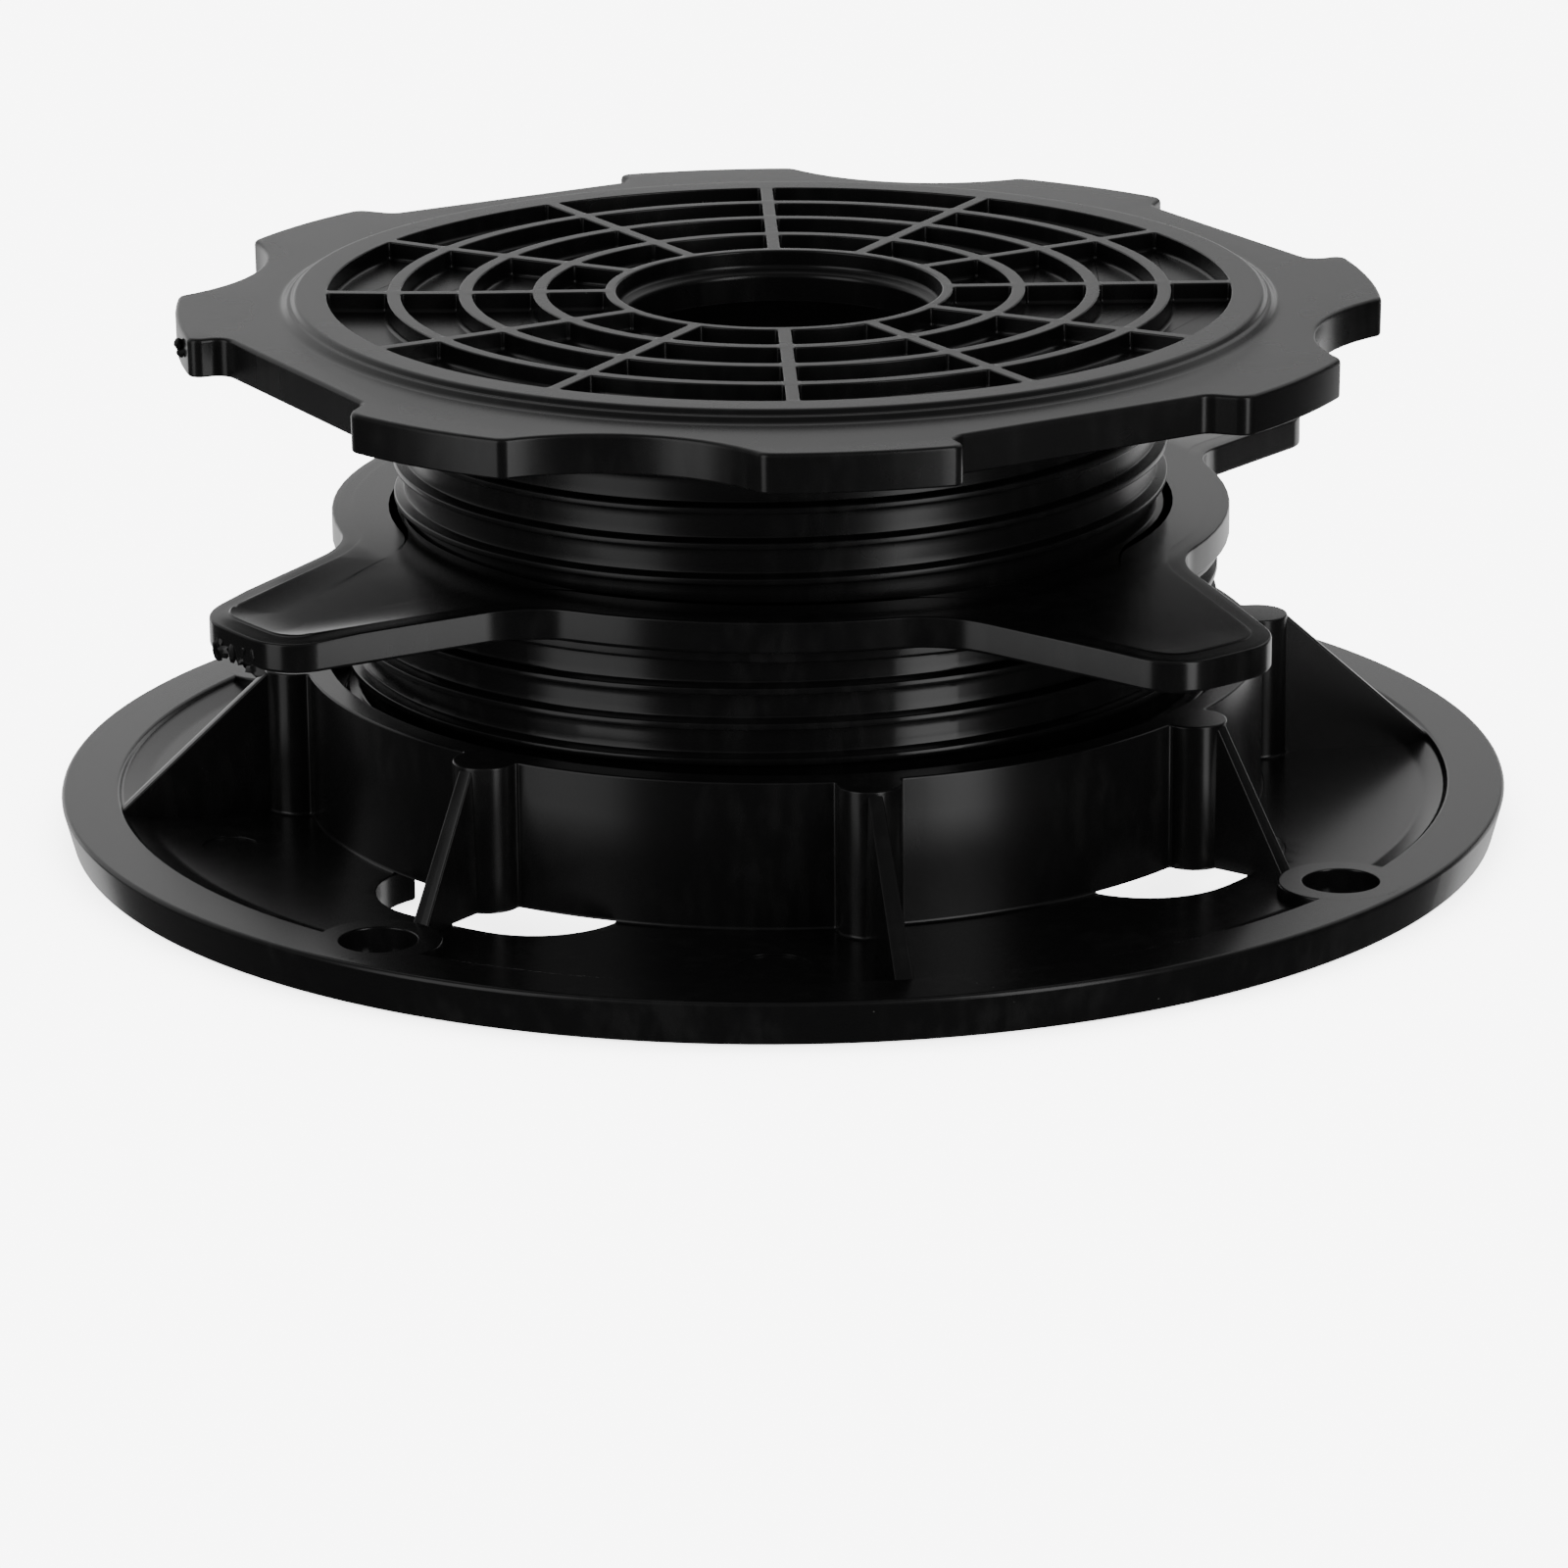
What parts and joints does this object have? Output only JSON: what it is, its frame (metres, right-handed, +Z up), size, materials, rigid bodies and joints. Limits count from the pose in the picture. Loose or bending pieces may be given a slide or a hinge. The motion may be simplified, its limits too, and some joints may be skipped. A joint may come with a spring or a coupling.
{
  "type": "adjustable decking pedestal",
  "caption": "Round screw-adjustable pedestal in black plastic: base plate with a ribbed threaded collar, lobed adjusting ring, and ribbed head on a threaded stem.",
  "frame": {"origin": "centre of the base plate's underside, on the screw axis", "axes": "+Z up along the screw axis, +X to the right and -Y towards the viewer of the picture"},
  "size_m": [0.2, 0.2, 0.0744],
  "materials": {
    "base_plastic": "satin black polypropylene",
    "ring_plastic": "satin black polypropylene",
    "head_plastic": "satin black polypropylene"
  },
  "bodies": {
    "base": {"base": "base_plastic"},
    "ring": {"adjusting_ring": "ring_plastic"},
    "head": {"head": "head_plastic"}
  },
  "joints": [
    {"name": "ring_turn", "type": "hinge", "parent": "base", "child": "ring", "pos_m": [0, 0, 0.0405], "axis": [0, 0, 1], "range_deg": [-112.5, 1650]},
    {"name": "head_lift", "type": "slide", "parent": "base", "child": "head", "axis": [0, 0, 1], "range_m": [-0.022, 0.0015]}
  ],
  "couplings": [
    {"joint": "head_lift", "follows": "ring_turn", "m_per_rad": -0.00076394}
  ]
}
